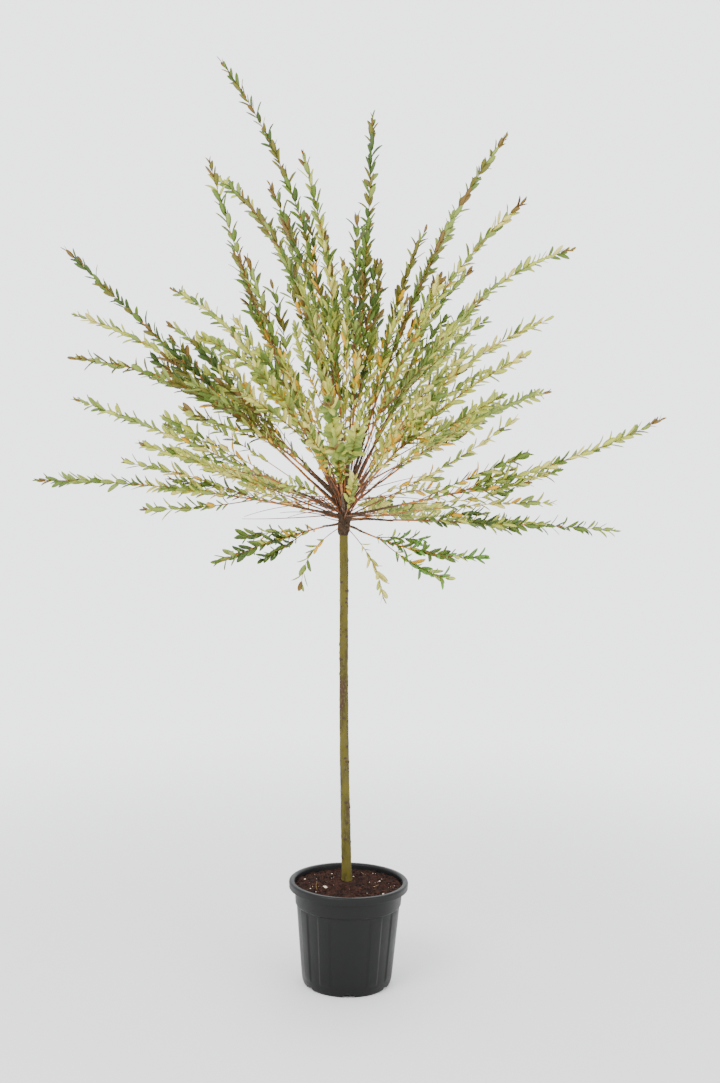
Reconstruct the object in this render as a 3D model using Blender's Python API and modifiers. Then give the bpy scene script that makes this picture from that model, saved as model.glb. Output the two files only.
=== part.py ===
"""Potted standard dappled willow, a small grafted tree in a round nursery pot.

The tree is a straight bare stem with a knobbly graft head on top.  Long wands rise,
lean out and droop from the head on all sides.  Each wand is a bare bough near the
head and a leafy mass of shoots beyond it.  Metres, +Z up, origin at the middle of
the flat underside of the pot, +X to the right of the front view, +Y to the back.
"""

import math
import random

import bmesh
import bpy
import numpy as np
from mathutils import Matrix, Vector

# Clearance between neighbouring solids
GAP = 0.0003

# Pot
POT_HEIGHT = 0.335
POT_SEGMENTS = 48
WALL = 0.0026
FLOOR = 0.003
RIM_RADIUS = 0.195
RIM_INNER_RADIUS = 0.179
LIP_DROP = 0.023
COLLAR_TOP_RADIUS = 0.1775
COLLAR_FOOT_RADIUS = 0.1725
COLLAR_FOOT_HEIGHT = 0.262
BODY_TOP_RADIUS = 0.1685
BODY_FOOT_RADIUS = 0.1475
BODY_FOOT_HEIGHT = 0.022
BASE_RADIUS = 0.139
RIB_RISE = 0.0022
RIB_TURN = math.radians(3.0)
NOTCH_COUNT = 6
NOTCH_WIDTH = 0.034
NOTCH_HEIGHT = 0.006
NOTCH_INNER_RADIUS = 0.129

# Soil
SOIL_EDGE_HEIGHT = 0.317
SOIL_TOP_HEIGHT = 0.325
SOIL_FLAT_RADIUS = 0.062
SOIL_FOOT_RADIUS = 0.124

# Trunk
TRUNK_FOOT = Vector((-0.006, 0.030, SOIL_TOP_HEIGHT + GAP))
TRUNK_TOP = Vector((-0.040, 0.030, 1.4620))
TRUNK_SWAY = 0.0045
TRUNK_FOOT_RADIUS = 0.0158
TRUNK_TOP_RADIUS = 0.0138
FLARE = 0.0032
FLARE_HEIGHT = 0.028
TRUNK_RINGS = 9

# Graft head
HEAD_BASE = TRUNK_TOP.z + GAP
HEAD_HEIGHT = 0.150
HEAD_RADII = (0.0150, 0.0205, 0.0200, 0.0185, 0.0195, 0.0220, 0.0235, 0.0220, 0.0135)
BURL_COUNT = 6
BURL_RADIUS = 0.0105

# Boughs, from the head to where their leaves begin
CROWN_RING = 0.0165
RING_FROM_RISE = 45.0
DROOP_POWER = 1.6
BOUGH_SHARE = 0.17
BOUGH_RADIUS = 0.0052
STEM_RADIUS = 0.0035
TIP_RADIUS = 0.0012

# Each wand: its heading and its height on the head (degrees, millimetres), its rise
# where it leaves and its droop towards the tip (degrees), and its length (metres)
WANDS = (
    (352, 60, 12, -16, 1.07),
    (12, 50, 0, 4, 0.96),
    (66, 55, 3, 2, 0.97),
    (192, 60, 10, 12, 0.99),
    (268, 70, 22, 12, 0.98),
    (308, 35, -14, -20, 0.68),
    (234, 40, -8, 8, 0.63),
    (122, 65, 12, 8, 1.04),
    (157, 70, 22, 6, 1.15),
    (38, 80, 33, 20, 1.06),
    (303, 80, 34, 22, 1.00),
    (210, 95, 40, 42, 1.03),
    (170, 105, 44, 29, 1.15),
    (193, 80, 41, -1, 1.20),
    (60, 95, 48, 26, 1.20),
    (335, 95, 55, 38, 0.91),
    (240, 80, 48, 46, 0.94),
    (140, 90, 56, 36, 1.20),
    (22, 105, 66, 50, 1.28),
    (85, 120, 62, 12, 1.27),
    (217, 105, 58, -13, 1.15),
    (108, 100, 57, -12, 1.12),
    (329, 110, 70, 36, 1.12),
    (8, 135, 75, 21, 1.31),
    (134, 125, 78, 52, 1.41),
    (294, 135, 79, -10, 1.20),
    (245, 130, 86, 36, 1.10),
    (178, 125, 87, 34, 1.45),
)

# Side shoots of a leafy mass, and its leaves
SIDE_SHOOTS = 2
SIDE_ANGLE = (0.24, 0.40)
SIDE_START = (0.05, 0.22)
SIDE_LENGTH = (0.50, 0.80)
LEAFY_FROM = 0.26
LEADER_LEAVES = 9
SIDE_LEAVES = 4
LEAF_LENGTH = (0.092, 0.118)
LEAF_WIDTH = 0.26
LEAF_THICKNESS = 0.026
LEAF_SPREAD = math.radians(27)
LEAF_ROOT = 0.0014
TIP_LEAF_REACH = 0.075
SPACE_MARGIN = 0.004
TWIG_SIDES = 3
SEED = 41

# Colours and finishes: colour, roughness
POT_FINISH = ((0.022, 0.023, 0.024), 0.42)
SOIL_FINISH = ((0.055, 0.026, 0.015), 0.95)
TRUNK_FINISH = ((0.16, 0.14, 0.045), 0.75)
HEAD_FINISH = ((0.075, 0.05, 0.028), 0.85)
BOUGH_FINISH = ((0.17, 0.085, 0.03), 0.6)
FOLIAGE_FINISH = ((0.36, 0.44, 0.17), 0.55)


def clear_scene():
    """Remove whatever the file was opened with."""
    for obj in list(bpy.data.objects):
        bpy.data.objects.remove(obj, do_unlink=True)


def new_collection(name):
    """A collection linked to the scene."""
    collection = bpy.data.collections.new(name)
    bpy.context.scene.collection.children.link(collection)
    return collection


def new_material(name, finish):
    """A plain Principled material from a colour and a roughness."""
    colour, roughness = finish
    material = bpy.data.materials.new(name)
    material.use_nodes = True
    shader = material.node_tree.nodes["Principled BSDF"]
    shader.inputs["Base Color"].default_value = (*colour, 1.0)
    shader.inputs["Roughness"].default_value = roughness
    shader.inputs["Metallic"].default_value = 0.0
    return material


def new_object(name, data, collection, material=None):
    """An object made from a mesh or curve, in a collection, with its material."""
    obj = bpy.data.objects.new(name, data)
    collection.objects.link(obj)
    if material:
        data.materials.append(material)
    return obj


def evaluated_mesh(obj):
    """The mesh of an object as its modifiers leave it, in world space."""
    bpy.context.view_layer.update()
    depsgraph = bpy.context.evaluated_depsgraph_get()
    mesh = bpy.data.meshes.new_from_object(obj.evaluated_get(depsgraph))
    mesh.transform(obj.matrix_world)
    return mesh


def close_caps(mesh):
    """Weld the loose caps of a tube or the seam of a turned shape, faces outward."""
    bm = bmesh.new()
    bm.from_mesh(mesh)
    bmesh.ops.remove_doubles(bm, verts=bm.verts, dist=1e-6)
    bmesh.ops.recalc_face_normals(bm, faces=bm.faces)
    bm.to_mesh(mesh)
    bm.free()


def replace_with_solid(obj):
    """Turn a curve or a modified object into a plain mesh object of the same name."""
    name = obj.name
    collection = obj.users_collection[0]
    mesh = evaluated_mesh(obj)
    close_caps(mesh)
    bpy.data.objects.remove(obj, do_unlink=True)
    return new_object(name, mesh, collection)


def keep_main_body(mesh):
    """Drop loose scraps and sealed hollows, which are the smaller shells of a mesh."""
    bm = bmesh.new()
    bm.from_mesh(mesh)
    unseen = set(bm.verts)
    bodies = []
    while unseen:
        body = {unseen.pop()}
        edge_of_body = list(body)
        while edge_of_body:
            vert = edge_of_body.pop()
            for edge in vert.link_edges:
                other = edge.other_vert(vert)
                if other in unseen:
                    unseen.discard(other)
                    body.add(other)
                    edge_of_body.append(other)
        bodies.append(body)
    bodies.sort(key=len)
    for body in bodies[:-1]:
        bmesh.ops.delete(bm, geom=list(body), context="VERTS")
    bm.to_mesh(mesh)
    bm.free()


def is_closed(mesh):
    """True when every edge of the mesh joins exactly two faces."""
    bm = bmesh.new()
    bm.from_mesh(mesh)
    closed = bool(bm.faces) and all(len(edge.link_faces) == 2 for edge in bm.edges)
    bm.free()
    return closed


def apply_boolean(obj, operation, solver, tool):
    """The mesh of obj after one Boolean with another object or a collection."""
    cut = obj.modifiers.new("join" if operation == "UNION" else "cut", "BOOLEAN")
    cut.operation = operation
    cut.solver = solver
    if isinstance(tool, bpy.types.Collection):
        cut.operand_type = "COLLECTION"
        cut.collection = tool
    else:
        cut.object = tool
    mesh = evaluated_mesh(obj)
    obj.modifiers.remove(cut)
    keep_main_body(mesh)
    return mesh


def boolean(obj, operation, tool):
    """Join or cut obj for good, by the exact solver or else by the manifold one."""
    for solver in ("EXACT", "MANIFOLD"):
        mesh = apply_boolean(obj, operation, solver, tool)
        if is_closed(mesh):
            obj.data = mesh
            return obj
    raise RuntimeError(f"{obj.name} does not close")


def remove_collection(collection):
    """Remove a collection with the objects that were only there to be joined."""
    for obj in list(collection.objects):
        bpy.data.objects.remove(obj, do_unlink=True)
    bpy.data.collections.remove(collection)


def turned(name, profile, collection):
    """A turned solid from its profile of radius and height, both ends on the axis."""
    mesh = bpy.data.meshes.new(name)
    points = [(radius, 0.0, height) for radius, height in profile]
    edges = [(i, i + 1) for i in range(len(points) - 1)]
    mesh.from_pydata(points, edges, [])
    obj = new_object(name, mesh, collection)
    screw = obj.modifiers.new("turn", "SCREW")
    screw.steps = POT_SEGMENTS
    screw.render_steps = POT_SEGMENTS
    screw.use_merge_vertices = True
    screw.merge_threshold = 0.00001
    obj.rotation_euler.z = math.pi / POT_SEGMENTS + RIB_TURN
    return replace_with_solid(obj)


def body_radius(height):
    """Outer radius of the plain pot body at a height between its foot and the collar."""
    share = (height - BODY_FOOT_HEIGHT) / (COLLAR_FOOT_HEIGHT - BODY_FOOT_HEIGHT)
    return BODY_FOOT_RADIUS + (BODY_TOP_RADIUS - BODY_FOOT_RADIUS) * share


def inner_wall():
    """Inner corner points of the pot wall, from the floor up to the rim."""
    foot = (body_radius(BODY_FOOT_HEIGHT) - WALL, BODY_FOOT_HEIGHT)
    collar = (BODY_TOP_RADIUS - WALL, COLLAR_FOOT_HEIGHT)
    return [(BASE_RADIUS - WALL, FLOOR), foot, collar]


def pot_profile():
    """Profile of the pot: inside from the floor's middle up, then outside down."""
    lip_foot = POT_HEIGHT - LIP_DROP
    lip_edge = 0.004
    inside = [(0.0, FLOOR)] + inner_wall()
    top = [
        (RIM_INNER_RADIUS - WALL, POT_HEIGHT - lip_edge),
        (RIM_INNER_RADIUS + lip_edge / 2, POT_HEIGHT),
        (RIM_RADIUS - lip_edge, POT_HEIGHT),
        (RIM_RADIUS, POT_HEIGHT - lip_edge),
        (RIM_RADIUS - 0.001, lip_foot),
        (RIM_RADIUS - WALL - 0.001, lip_foot),
        (RIM_RADIUS - WALL - 0.001, POT_HEIGHT - lip_edge - WALL),
        (COLLAR_TOP_RADIUS, POT_HEIGHT - lip_edge - WALL),
    ]
    outside = [
        (COLLAR_FOOT_RADIUS, COLLAR_FOOT_HEIGHT),
        (BODY_TOP_RADIUS, COLLAR_FOOT_HEIGHT - 0.004),
        (body_radius(0.07), 0.07),
        (BODY_FOOT_RADIUS, BODY_FOOT_HEIGHT),
        (BASE_RADIUS + 0.004, 0.005),
        (BASE_RADIUS, 0.0),
        (0.0, 0.0),
    ]
    return inside + top + outside


def raise_ribs(mesh):
    """Push eight upright ribs out of the pot body, in pairs round four wide panels.

    A quarter turn holds twelve facets: the points fourth, fifth, eighth and ninth
    from its start stand proud, and the ribs fade out at the pot's foot.
    """
    facet = 2 * math.pi / POT_SEGMENTS
    low = BODY_FOOT_HEIGHT + 0.01
    for vert in mesh.vertices:
        radius = math.hypot(vert.co.x, vert.co.y)
        on_body = low < vert.co.z < COLLAR_FOOT_HEIGHT - 0.001
        if not on_body or radius < body_radius(vert.co.z) - WALL / 2:
            continue
        turn = math.atan2(vert.co.y, vert.co.x) - RIB_TURN + math.pi / 2
        place = round((turn / facet) - 0.5) % 12
        if place in (3, 4, 7, 8):
            vert.co.x *= (radius + RIB_RISE) / radius
            vert.co.y *= (radius + RIB_RISE) / radius


def make_pot(collection, cutters, material):
    """The pot: a turned shell with a channelled lip, ribs and notches at its foot."""
    pot = turned("pot", pot_profile(), collection)
    raise_ribs(pot.data)
    depth = BODY_FOOT_RADIUS - NOTCH_INNER_RADIUS + 0.02
    middle = NOTCH_INNER_RADIUS + depth / 2
    for index in range(NOTCH_COUNT):
        angle = 2 * math.pi * (index + 0.5) / NOTCH_COUNT + RIB_TURN
        place = Matrix.Rotation(angle, 4, "Z") @ Matrix.Translation((middle, 0.0, 0.0))
        size = Matrix.Diagonal((depth, NOTCH_WIDTH, 2 * NOTCH_HEIGHT, 1.0))
        mesh = bpy.data.meshes.new(f"notch_{index + 1}")
        bm = bmesh.new()
        bmesh.ops.create_cube(bm, size=1.0, matrix=place @ size)
        bm.to_mesh(mesh)
        bm.free()
        cutter = new_object(mesh.name, mesh, cutters)
        cutter.hide_render = True
        cutter.display_type = "WIRE"
        boolean(pot, "DIFFERENCE", cutter)
    pot.data.materials.append(material)
    return pot


def make_soil(collection, material):
    """The soil: a turned solid that fills the pot, slightly mounded round the stem."""
    wall = [(radius - GAP / math.cos(math.pi / POT_SEGMENTS), height)
            for radius, height in inner_wall()]
    share = (SOIL_EDGE_HEIGHT - COLLAR_FOOT_HEIGHT) / (POT_HEIGHT - COLLAR_FOOT_HEIGHT)
    edge_radius = wall[2][0] + share * (RIM_INNER_RADIUS - BODY_TOP_RADIUS)
    profile = [
        (0.0, SOIL_TOP_HEIGHT),
        (SOIL_FLAT_RADIUS, SOIL_TOP_HEIGHT),
        (0.125, (SOIL_TOP_HEIGHT + SOIL_EDGE_HEIGHT) / 2),
        (edge_radius - GAP, SOIL_EDGE_HEIGHT),
        (wall[2][0], wall[2][1]),
        (wall[1][0], wall[1][1] + GAP),
        (SOIL_FOOT_RADIUS, FLOOR + GAP),
        (0.0, FLOOR + GAP),
    ]
    soil = turned("soil", profile, collection)
    soil.data.materials.append(material)
    return soil


def tube(name, points, radii, resolution, collection):
    """A round tapering limb: a bevelled curve through the points, closed at its ends."""
    curve = bpy.data.curves.new(name, "CURVE")
    curve.dimensions = "3D"
    curve.bevel_depth = 1.0
    curve.bevel_resolution = resolution
    curve.use_fill_caps = True
    return lay_spline(curve, points, radii, collection)


def lay_spline(curve, points, radii, collection):
    """Put one straight-sided spline with its radii into a curve, and make it solid."""
    spline = curve.splines.new("POLY")
    spline.points.add(len(points) - 1)
    for knot, point, radius in zip(spline.points, points, radii):
        knot.co = (*point, 1.0)
        knot.radius = radius
    return replace_with_solid(new_object(curve.name, curve, collection))


def trunk_point(share):
    """Middle of the stem at a share of its height: it leans left and sways a little."""
    point = TRUNK_FOOT.lerp(TRUNK_TOP, share)
    point.x -= TRUNK_SWAY * math.sin(math.pi * min(share * 1.15, 1.0))
    return point


def make_trunk(collection, material):
    """The bare stem, from its flat cut at soil level to the graft, with a foot flare."""
    heights = [TRUNK_FOOT.z + i * 0.009 for i in range(4)]
    heights += list(np.linspace(heights[-1] + 0.03, TRUNK_TOP.z, TRUNK_RINGS))
    points = []
    radii = []
    length = TRUNK_TOP.z - TRUNK_FOOT.z
    for height in heights:
        share = (height - TRUNK_FOOT.z) / length
        point = trunk_point(share)
        point.z = height
        points.append(point)
        flare = FLARE * math.exp(-(height - TRUNK_FOOT.z) / FLARE_HEIGHT * 2)
        radii.append(TRUNK_FOOT_RADIUS + (TRUNK_TOP_RADIUS - TRUNK_FOOT_RADIUS) * share + flare)
    points[1].xy = points[0].xy
    points[-2].xy = points[-1].xy
    trunk = tube("trunk", points, radii, 4, collection)
    trunk.data.materials.append(material)
    return trunk


def make_head(collection, material):
    """The graft head: a knuckled stump with burls, where the boughs come out."""
    heights = [HEAD_HEIGHT * i / (len(HEAD_RADII) - 1) for i in range(len(HEAD_RADII))]
    points = [Vector((TRUNK_TOP.x, TRUNK_TOP.y, HEAD_BASE + height)) for height in heights]
    head = tube("graft_head", points, HEAD_RADII, 4, collection)
    rule = random.Random(SEED)
    burls = new_collection("burls")
    for index in range(BURL_COUNT):
        turn = 2 * math.pi * index / BURL_COUNT + rule.uniform(-0.3, 0.3)
        height = HEAD_BASE + HEAD_HEIGHT * rule.uniform(0.22, 0.80)
        size = BURL_RADIUS * rule.uniform(0.8, 1.15)
        middle = (TRUNK_TOP.x + 0.0145 * math.cos(turn), TRUNK_TOP.y + 0.0145 * math.sin(turn), height)
        mesh = bpy.data.meshes.new("burl")
        bm = bmesh.new()
        place = Matrix.Translation(middle) @ Matrix.Rotation(turn, 4, "Z")
        stretch = Matrix.Diagonal((size, size, size * 1.25, 1.0))
        bmesh.ops.create_uvsphere(bm, u_segments=6, v_segments=5, radius=1.0, matrix=place @ stretch)
        bm.to_mesh(mesh)
        bm.free()
        new_object(f"burl_{index + 1}", mesh, burls)
    boolean(head, "UNION", burls)
    remove_collection(burls)
    head.data.materials.append(material)
    return head


def heading(azimuth):
    """Level unit vector of a heading in radians."""
    return np.array((math.cos(azimuth), math.sin(azimuth), 0.0))


def wand_start(azimuth, height, rise):
    """Where a wand springs from: the steep ones stand in a ring on top of the head."""
    ring = 0.004 + (CROWN_RING - 0.004) * max(rise - RING_FROM_RISE, 0.0) / (90.0 - RING_FROM_RISE)
    middle = np.array((TRUNK_TOP.x, TRUNK_TOP.y, HEAD_BASE + height))
    return middle + heading(azimuth) * ring


def wand_line(row, shares):
    """Points of a wand at shares of its length: its slope falls off towards the tip."""
    azimuth, height, rise, droop, length = row
    fine = np.linspace(0.0, 1.0, 129)
    slope = np.radians(rise - droop * fine ** DROOP_POWER)
    level = np.concatenate(([0.0], np.cumsum((np.cos(slope[1:]) + np.cos(slope[:-1])) / 2)))
    climb = np.concatenate(([0.0], np.cumsum((np.sin(slope[1:]) + np.sin(slope[:-1])) / 2)))
    step = length / (len(fine) - 1)
    turn = math.radians(azimuth)
    reach = np.interp(shares, fine, level * step)
    lift = np.interp(shares, fine, climb * step)
    start = wand_start(turn, height / 1000, rise)
    return start + reach[:, None] * heading(turn) + lift[:, None] * np.array((0.0, 0.0, 1.0))


def distance_to_line(points, line):
    """Shortest distance from each point to a line of straight pieces."""
    start = line[:-1]
    along = line[1:] - start
    offset = points[:, None, :] - start[None, :, :]
    share = np.clip((offset * along).sum(2) / (along * along).sum(1), 0.0, 1.0)
    foot = offset - share[:, :, None] * along
    return np.sqrt((foot * foot).sum(2)).min(1)


def keeps_to_space(points, index, lines):
    """True when all points lie nearer to their own wand than to any other limb."""
    own = distance_to_line(points, lines[index])
    for other, line in enumerate(lines):
        if other != index and (distance_to_line(points, line) < own + SPACE_MARGIN).any():
            return False
    return True


def side_line(line, begin, angle, roll, share, knots):
    """Points of a side shoot, which leaves its wand at an angle and then follows it."""
    shares = np.linspace(0.0, 1.0, len(line))
    along = np.gradient(line, axis=0)
    along /= np.linalg.norm(along, axis=1)[:, None]
    length = np.linalg.norm(np.diff(line, axis=0), axis=1).sum()
    fine = np.linspace(begin, begin + share * (1.0 - begin), 41)
    tangent = np.stack([np.interp(fine, shares, along[:, axis]) for axis in range(3)], axis=1)
    first = Vector(tangent[0])
    across = first.orthogonal().normalized()
    across.rotate(Matrix.Rotation(roll, 3, first))
    ease = 1.0 - 0.75 * np.linspace(0.0, 1.0, len(fine))
    course = tangent + math.tan(angle) * ease[:, None] * np.array(across)
    course /= np.linalg.norm(course, axis=1)[:, None]
    step = length * (fine[1] - fine[0])
    root = np.array([np.interp(begin, shares, line[:, axis]) for axis in range(3)])
    path = root + np.concatenate((np.zeros((1, 3)), np.cumsum((course[1:] + course[:-1]) / 2, axis=0) * step))
    picks = np.linspace(0, len(fine) - 1, knots).round().astype(int)
    return path[picks]


def twig(name, points, radii, profile, collection):
    """A three-sided tapering twig along the points."""
    curve = bpy.data.curves.new(name, "CURVE")
    curve.dimensions = "3D"
    curve.bevel_mode = "OBJECT"
    curve.bevel_object = profile
    curve.use_fill_caps = True
    return lay_spline(curve, points, radii, collection)


def twig_profile(collection):
    """The three-sided outline that twigs are made with, one metre in radius."""
    curve = bpy.data.curves.new("twig_profile", "CURVE")
    curve.dimensions = "2D"
    spline = curve.splines.new("POLY")
    spline.points.add(TWIG_SIDES - 1)
    for index, knot in enumerate(spline.points):
        turn = 2 * math.pi * index / TWIG_SIDES
        knot.co = (math.cos(turn), math.sin(turn), 0.0, 1.0)
    spline.use_cyclic_u = True
    obj = new_object(curve.name, curve, collection)
    obj.hide_render = True
    obj.display_type = "WIRE"
    return obj


def leaf_mesh(root, axis, across, length):
    """A slim eight-sided leaf, widest below its middle, with its root in the twig."""
    mesh = bpy.data.meshes.new("leaf")
    bm = bmesh.new()
    bmesh.ops.create_uvsphere(bm, u_segments=4, v_segments=2, radius=0.5)
    width = LEAF_WIDTH * length
    thickness = LEAF_THICKNESS * length
    face = axis.cross(across).normalized()
    frame = Matrix((across, face, axis)).transposed()
    for vert in bm.verts:
        share = vert.co.z + 0.5
        along = (length + LEAF_ROOT) * share ** 1.25 - LEAF_ROOT
        vert.co = frame @ Vector((vert.co.x * width, vert.co.y * thickness, along)) + root
    bmesh.ops.recalc_face_normals(bm, faces=bm.faces)
    bm.to_mesh(mesh)
    bm.free()
    return mesh


def leaf_roots(path, count, leafy_from):
    """Places for leaves along a shoot, in near pairs, with the last one at its tip."""
    steps = np.linalg.norm(np.diff(path, axis=0), axis=1)
    run = np.concatenate(([0.0], np.cumsum(steps)))
    places = []
    for order in range(count):
        pair = order // 2
        share = leafy_from + (0.97 - leafy_from) * pair / max((count - 1) / 2, 1)
        if order == count - 1:
            share = 0.985
        elif order % 2:
            share += 0.022
        at = share * run[-1]
        point = Vector([float(np.interp(at, run, path[:, axis])) for axis in range(3)])
        segment = min(int(np.searchsorted(run, at)), len(path) - 1)
        tangent = Vector(path[segment] - path[segment - 1]).normalized()
        places.append((order, pair, point, tangent))
    return places


def add_leaves(path, count, leafy_from, rule, index, lines, collection):
    """Set leaves on a shoot, skipping each one that would leave the mass's own space."""
    roll = rule.uniform(0.0, math.pi)
    for order, pair, point, tangent in leaf_roots(path, count, leafy_from):
        turn = roll + pair * math.pi / 2 + (order % 2) * math.pi + rule.uniform(-0.35, 0.35)
        outward = tangent.orthogonal().normalized()
        outward.rotate(Matrix.Rotation(turn, 3, tangent))
        last = order == count - 1
        spread = (0.12 if last else LEAF_SPREAD) + rule.uniform(-0.09, 0.09)
        axis = (tangent * math.cos(spread) + outward * math.sin(spread)).normalized()
        across = tangent.cross(outward).normalized()
        length = rule.uniform(*LEAF_LENGTH)
        mesh = leaf_mesh(point, axis, across, length)
        corners = np.array([vert.co[:] for vert in mesh.vertices])
        if keeps_to_space(corners, index, lines):
            new_object("leaf", mesh, collection)
        else:
            bpy.data.meshes.remove(mesh)


def make_bough(index, row, head, collection, material):
    """A bare limb from the head's surface to where its leafy mass begins."""
    shares = np.linspace(0.0, BOUGH_SHARE, 4)
    radii = np.linspace(BOUGH_RADIUS, STEM_RADIUS, len(shares)) * (0.7 + 0.3 * row[4])
    bough = tube(f"bough_{index + 1:02d}", wand_line(row, shares), radii, 1, collection)
    boolean(bough, "DIFFERENCE", head)
    bough.data.materials.append(material)
    return bough


def make_foliage(index, row, lines, profile, collection, material):
    """A leafy mass: the wand beyond its bough, its side shoots, and their leaves."""
    rule = random.Random(SEED * 100 + index)
    clear = BOUGH_SHARE + GAP / row[4]
    end = 1.0 - TIP_LEAF_REACH / row[4]
    path = wand_line(row, np.linspace(clear, end, 6))
    scale = 0.7 + 0.3 * row[4]
    radii = np.linspace(STEM_RADIUS * 1.1 * scale, TIP_RADIUS, len(path))
    name = f"foliage_{index + 1:02d}"
    mass = twig(name, path, radii, profile, collection)
    pieces = new_collection("pieces")
    add_leaves(path, LEADER_LEAVES, LEAFY_FROM, rule, index, lines, pieces)
    fine = wand_line(row, np.linspace(clear, end, 33))
    first_roll = rule.uniform(0.0, 2 * math.pi)
    for side in range(SIDE_SHOOTS):
        begin = rule.uniform(*SIDE_START)
        angle = rule.uniform(*SIDE_ANGLE)
        share = rule.uniform(*SIDE_LENGTH)
        roll = first_roll + 2 * math.pi * side / SIDE_SHOOTS + rule.uniform(-0.4, 0.4)
        shoot = side_line(fine, begin, angle, roll, share, 4)
        while len(shoot) > 2 and not keeps_to_space(shoot[1:], index, lines):
            angle *= 0.8
            share *= 0.95
            shoot = side_line(fine, begin, angle, roll, share, 4)
        thick = np.linspace(STEM_RADIUS * 0.72 * scale, TIP_RADIUS, len(shoot))
        twig("shoot", shoot, thick, profile, pieces)
        add_leaves(shoot, SIDE_LEAVES, LEAFY_FROM, rule, index, lines, pieces)
    boolean(mass, "UNION", pieces)
    remove_collection(pieces)
    mass.data.materials.append(material)
    return mass


def inflated(obj, amount, collection):
    """A copy of a solid with its surface moved out, to cut its neighbours clear of it."""
    mesh = obj.data.copy()
    moves = [vert.normal * amount for vert in mesh.vertices]
    for vert, move in zip(mesh.vertices, moves):
        vert.co += move
    copy = new_object(obj.name + "_clear", mesh, collection)
    copy.hide_render = True
    copy.display_type = "WIRE"
    return copy


def main():
    """Build the whole plant."""
    clear_scene()
    parts = new_collection("potted_dappled_willow")
    cutters = new_collection("cutters")
    make_pot(parts, cutters, new_material("pot_plastic", POT_FINISH))
    make_soil(parts, new_material("damp_peat", SOIL_FINISH))
    make_trunk(parts, new_material("green_bark", TRUNK_FINISH))
    head = make_head(parts, new_material("old_bark", HEAD_FINISH))
    head_clear = inflated(head, 1.3 * GAP, cutters)
    profile = twig_profile(cutters)
    bough_bark = new_material("young_bark", BOUGH_FINISH)
    foliage = new_material("foliage", FOLIAGE_FINISH)
    lines = [wand_line(row, np.linspace(0.0, 1.0, 25)) for row in WANDS]
    lines.append(np.array([TRUNK_FOOT[:], TRUNK_TOP[:]]))
    for index, row in enumerate(WANDS):
        make_bough(index, row, head_clear, parts, bough_bark)
        make_foliage(index, row, lines, profile, parts, foliage)


main()
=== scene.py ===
"""Looks of a potted standard dappled willow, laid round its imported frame.

Each leafy mass is grown again by the same seeded rule as its solid and carried to
finer shoots, twigs and single leaves.  Stem, head and limbs get bark in relief.
Metres, +Z up, origin at the middle of the flat underside of the pot.
"""

import functools
import random
from collections import namedtuple
from math import cos, pi, radians, sin, sqrt, tan

import bpy
import numpy as np
from bpy.props import FloatProperty, FloatVectorProperty, PointerProperty
from mathutils import Matrix, Vector


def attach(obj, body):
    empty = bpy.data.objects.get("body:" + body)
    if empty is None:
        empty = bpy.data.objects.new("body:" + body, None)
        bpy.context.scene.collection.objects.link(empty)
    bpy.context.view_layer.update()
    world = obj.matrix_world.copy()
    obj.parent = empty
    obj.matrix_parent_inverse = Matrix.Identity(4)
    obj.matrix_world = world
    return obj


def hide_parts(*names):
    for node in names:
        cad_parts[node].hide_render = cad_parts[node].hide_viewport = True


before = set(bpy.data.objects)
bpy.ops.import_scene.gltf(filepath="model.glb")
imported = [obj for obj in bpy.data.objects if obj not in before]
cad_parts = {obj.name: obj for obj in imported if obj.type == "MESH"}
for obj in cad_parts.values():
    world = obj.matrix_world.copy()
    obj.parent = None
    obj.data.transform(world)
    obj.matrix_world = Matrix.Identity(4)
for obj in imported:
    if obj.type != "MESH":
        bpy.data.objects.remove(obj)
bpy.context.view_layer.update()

bl_info = {
    "name": "Potted dappled willow",
    "version": (1, 0, 0),
    "blender": (4, 5, 0),
    "location": "3D View > Sidebar > Willow",
    "description": "A potted standard dappled willow",
    "category": "Add Mesh",
}

ROOT = "root"
TURN = 2 * pi
UP = np.array((0, 0, 1))
LEVEL = np.array((1, 1, 0))

# A ripple, a sum of waves, is a pitch in metres, a seed and a height
WAVES = 9
WAVE_RATES = (0.7, 1.5)
WAVE_POWER = 1.2
# A grain is a noise's scale and stretch, and a finish's roughness and relief
Grain = namedtuple("Grain", "scale stretch roughness relief")
EVEN = (1, 1, 1)
NOISE_SPAN = (0.3, 0.7)
LONGEST_CUT = 0.45

# Studio
SKY_COLOUR = (0.93, 0.95, 0.96)
SKY_LIGHT = 1.9
SKY_SEEN = 3
FLOOR_COLOUR = (0.86, 0.86, 0.85)
FLOOR_RADII = (30, 0.5)
FLOOR_SIDES = 96
FLOOR_HEIGHTS = (-0.0002, -0.0002)
FLOOR_FADE = (0.8, 4.5)
# Name, place, size and power of each lamp
LAMPS = (
    ("key", (-2.6, -3.6, 4.6), 2.6, 220),
    ("fill", (3.4, -3, 2.6), 3, 70),
    ("back", (0.5, 3.6, 4.2), 3, 70),
)
LAMP_AIM = Vector((0, 0, 1.2))
CAMERA_PLACE = (0.0139, -3.98, 1.58)
CAMERA_LENS = 40.886
CAMERA_SENSOR = 36
CAMERA_PITCH = radians(88)
CAMERA_ROLL = radians(1.2)

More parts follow.
